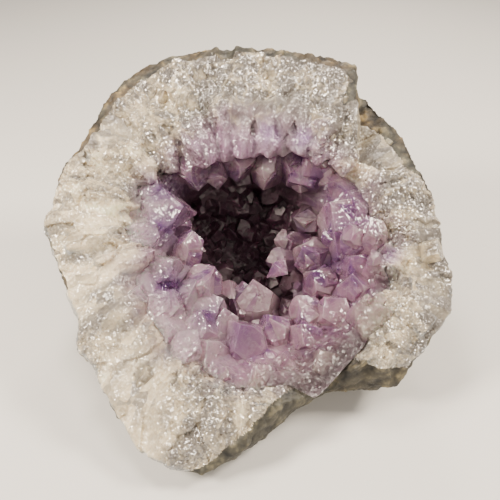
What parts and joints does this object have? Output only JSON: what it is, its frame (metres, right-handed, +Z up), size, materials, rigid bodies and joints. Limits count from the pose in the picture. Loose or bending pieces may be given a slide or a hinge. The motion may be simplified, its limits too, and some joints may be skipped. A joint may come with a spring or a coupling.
{
  "type": "freestanding amethyst geode",
  "caption": "Broken-off geode end that stands on its own: a milky quartz wall with a thin rough rind, and a hollow lined with amethyst points.",
  "frame": {"origin": "on the flat that the stone rests on, under the middle of the stone", "axes": "+Z up; +Y away from the viewer, towards the tall back of the stone; the broken face with the hollow leans back and looks up and towards -Y; +X to the viewer's right"},
  "size_m": [0.1364, 0.1292, 0.0884],
  "materials": {
    "milky_quartz": "broken milky quartz with a brown rind",
    "amethyst": "natural crystal faces"
  },
  "bodies": {
    "root": {"geode_rock": "milky_quartz", "amethyst_crust": "amethyst"}
  },
  "joints": []
}
